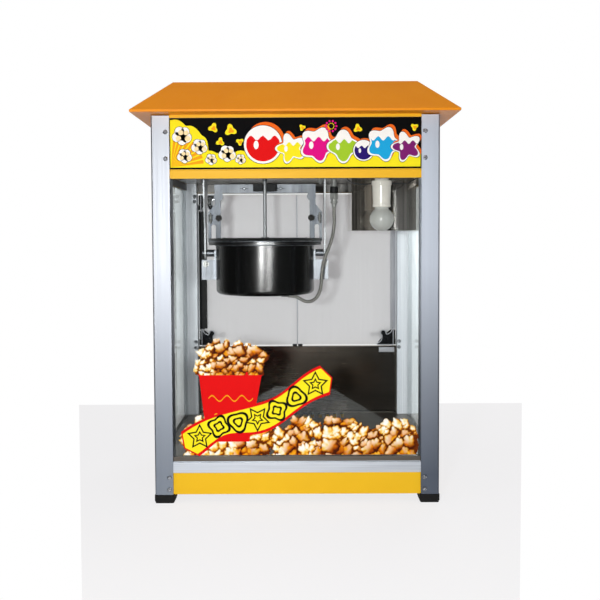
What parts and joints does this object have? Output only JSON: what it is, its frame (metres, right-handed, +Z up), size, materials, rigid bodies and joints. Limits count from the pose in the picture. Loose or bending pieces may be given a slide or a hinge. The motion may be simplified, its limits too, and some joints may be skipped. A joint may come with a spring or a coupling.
{
  "type": "popcorn maker",
  "caption": "Countertop popcorn machine: glass cabinet on aluminium posts, pyramid roof, hanging tilting kettle with stirrer, lamp, rear doors and crumb drawer",
  "frame": {"origin": "middle of the footprint, on the table under the rubber feet", "axes": "+Z up, +Y to the rear doors, -Y to the front window, +X to the right seen from the front"},
  "size_m": [0.56, 0.42, 0.742],
  "materials": {
    "brushed_aluminium": "satin brushed extrusion",
    "black_rubber": "matt moulded rubber",
    "yellow_paint": "semi-gloss powder coat",
    "orange_paint": "semi-gloss powder coat",
    "stainless_sheet": "bright rolled stainless sheet",
    "mirror_steel": "mirror-polished stainless sheet",
    "cabinet_glass": "clear tempered glass",
    "door_acrylic": "clear acrylic sheet",
    "printed_sign": "printed plastic sign",
    "kettle_steel": "dark polished spun steel",
    "pan_steel": "spun stainless steel",
    "heater_iron": "rough heater plate",
    "zinc_steel": "bright zinc-plated steel",
    "cast_aluminium": "sand-cast gearbox housing",
    "motor_enamel": "black enamel",
    "white_porcelain": "glazed porcelain",
    "opal_glass": "opal glass globe",
    "wire_insulation": "heat-proof wire sleeve",
    "braided_conduit": "braided steel sleeve",
    "black_plastic": "glossy moulded plastic",
    "bearing_plastic": "dark moulded bearing plastic",
    "handle_bakelite": "dark phenolic grip"
  },
  "bodies": {
    "cabinet": {"left_front_post": "brushed_aluminium", "right_front_post": "brushed_aluminium", "left_rear_post": "brushed_aluminium", "right_rear_post": "brushed_aluminium", "rubber_feet": "black_rubber", "front_skirt": "yellow_paint", "side_skirts": "yellow_paint", "rear_lower_panel": "yellow_paint", "base_pan": "stainless_sheet", "front_trim": "brushed_aluminium", "side_trims": "brushed_aluminium", "tray_floor": "stainless_sheet", "rear_inner_wall": "stainless_sheet", "front_glass": "cabinet_glass", "left_glass": "cabinet_glass", "right_glass": "cabinet_glass", "front_header": "yellow_paint", "side_headers": "yellow_paint", "rear_header": "yellow_paint", "front_sign": "printed_sign", "side_signs": "printed_sign", "ceiling_plate": "stainless_sheet", "roof": "orange_paint", "gearbox": "cast_aluminium", "drive_motor": "motor_enamel", "left_hanger": "stainless_sheet", "right_hanger": "stainless_sheet", "lamp_holder": "white_porcelain", "lamp_bulb": "opal_glass", "lamp_wires": "wire_insulation", "wiring_box": "mirror_steel", "conduit_socket": "zinc_steel", "kettle_conduit": "braided_conduit", "post_screws": "zinc_steel", "hinge_bases": "black_plastic", "door_magnets": "black_plastic", "power_inlet": "black_plastic", "switch_housings": "black_plastic"},
    "drive": {"drive_hub": "zinc_steel"},
    "left_door": {"left_door": "door_acrylic", "left_door_strip": "black_rubber", "left_hinge_leaves": "black_plastic", "left_door_knob": "black_plastic"},
    "right_door": {"right_door": "door_acrylic", "right_hinge_leaves": "black_plastic", "right_door_knob": "black_plastic"},
    "kettle": {"kettle_pan": "pan_steel", "kettle_jacket": "kettle_steel", "kettle_heater": "heater_iron", "kettle_brackets": "zinc_steel", "kettle_yoke": "stainless_sheet", "bearing_block": "bearing_plastic", "kettle_handle": "handle_bakelite"},
    "front_lid": {"front_lid": "pan_steel"},
    "rear_lid": {"rear_lid": "pan_steel"},
    "stirrer": {"stirrer": "pan_steel"},
    "crumb_drawer": {"crumb_drawer": "stainless_sheet"},
    "heat_switch": {"heat_switch": "black_plastic"},
    "motor_switch": {"motor_switch": "black_plastic"},
    "lamp_switch": {"lamp_switch": "black_plastic"}
  },
  "joints": [
    {"name": "left_door_swing", "type": "hinge", "parent": "cabinet", "child": "left_door", "pos_m": [-0.213, 0.184, 0.395], "axis": [0, 0, 1], "range_deg": [0, 110]},
    {"name": "right_door_swing", "type": "hinge", "parent": "cabinet", "child": "right_door", "pos_m": [0.213, 0.184, 0.395], "axis": [0, 0, -1], "range_deg": [0, 110]},
    {"name": "kettle_tilt", "type": "hinge", "parent": "cabinet", "child": "kettle", "pos_m": [-0.062, 0, 0.437], "axis": [1, 0, 0], "range_deg": [0, 70], "deforming": ["kettle_conduit"]},
    {"name": "front_lid_hinge", "type": "hinge", "parent": "kettle", "child": "front_lid", "pos_m": [-0.062, -0.0125, 0.4645], "axis": [-1, 0, 0], "range_deg": [0, 80]},
    {"name": "rear_lid_hinge", "type": "hinge", "parent": "kettle", "child": "rear_lid", "pos_m": [-0.062, 0.0125, 0.4645], "axis": [1, 0, 0], "range_deg": [0, 80]},
    {"name": "drive_spin", "type": "hinge", "parent": "cabinet", "child": "drive", "pos_m": [-0.062, 0, 0.58], "axis": [0, 0, 1], "continuous": true},
    {"name": "stirrer_spin", "type": "hinge", "parent": "kettle", "child": "stirrer", "pos_m": [-0.062, 0, 0.48], "axis": [0, 0, 1], "continuous": true},
    {"name": "drawer_slide", "type": "slide", "parent": "cabinet", "child": "crumb_drawer", "axis": [0, 1, 0], "range_m": [0, 0.13]},
    {"name": "heat_switch_tilt", "type": "hinge", "parent": "cabinet", "child": "heat_switch", "pos_m": [-0.12, 0.171, 0.63], "axis": [1, 0, 0], "range_deg": [0, 14]},
    {"name": "motor_switch_tilt", "type": "hinge", "parent": "cabinet", "child": "motor_switch", "pos_m": [-0.07, 0.171, 0.63], "axis": [1, 0, 0], "range_deg": [0, 14]},
    {"name": "lamp_switch_tilt", "type": "hinge", "parent": "cabinet", "child": "lamp_switch", "pos_m": [-0.02, 0.171, 0.63], "axis": [1, 0, 0], "range_deg": [0, 14]}
  ],
  "couplings": [
    {"joint": "stirrer_spin", "follows": "drive_spin", "ratio": 1}
  ]
}
